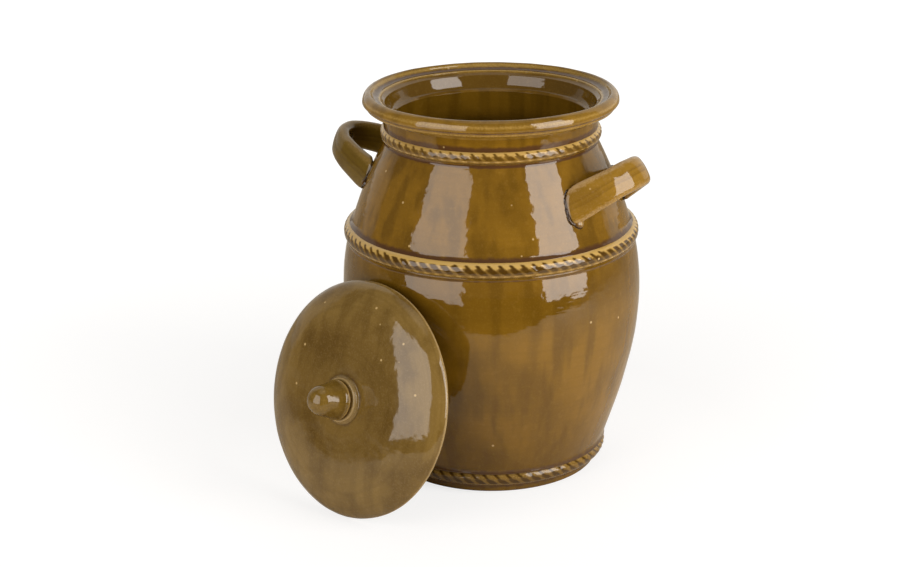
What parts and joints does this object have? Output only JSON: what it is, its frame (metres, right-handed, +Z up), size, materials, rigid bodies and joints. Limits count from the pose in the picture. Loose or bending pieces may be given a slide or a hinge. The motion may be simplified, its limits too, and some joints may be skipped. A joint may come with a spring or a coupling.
{
  "type": "fermentation crock",
  "caption": "Glazed stoneware fermentation crock: bellied jar with rope bands, rolled rim, strap handles, and a loose domed lid leaning on it.",
  "frame": {"origin": "centre of the jar's foot, on the surface it stands on", "axes": "+Z up along the jar's axis, +X through the middle of the right handle, the lid leans at the front (-Y)"},
  "size_m": [0.2689, 0.3043, 0.3],
  "materials": {
    "jar_glaze": "glossy amber glaze",
    "rim_glaze": "glossy amber glaze, pooled dark in the seat",
    "rope_glaze": "glossy amber glaze, pale on the crests",
    "handle_glaze": "glossy amber glaze",
    "lid_glaze": "satin to glossy tan-brown glaze"
  },
  "bodies": {
    "crock": {"jar_body": "jar_glaze", "rim": "rim_glaze", "neck_rope": "rope_glaze", "shoulder_rope": "rope_glaze", "foot_rope": "rope_glaze", "right_handle": "handle_glaze", "right_front_lute": "handle_glaze", "right_rear_lute": "handle_glaze", "left_handle": "handle_glaze", "left_front_lute": "handle_glaze", "left_rear_lute": "handle_glaze"},
    "lid": {"lid_dome": "lid_glaze", "lid_knob_collar": "lid_glaze", "lid_knob": "lid_glaze"}
  },
  "joints": [
    {"name": "lid_lift", "type": "slide", "parent": "crock", "child": "lid", "axis": [-0.2623, -0.927, 0.2682], "range_m": [0, 0.2]}
  ]
}
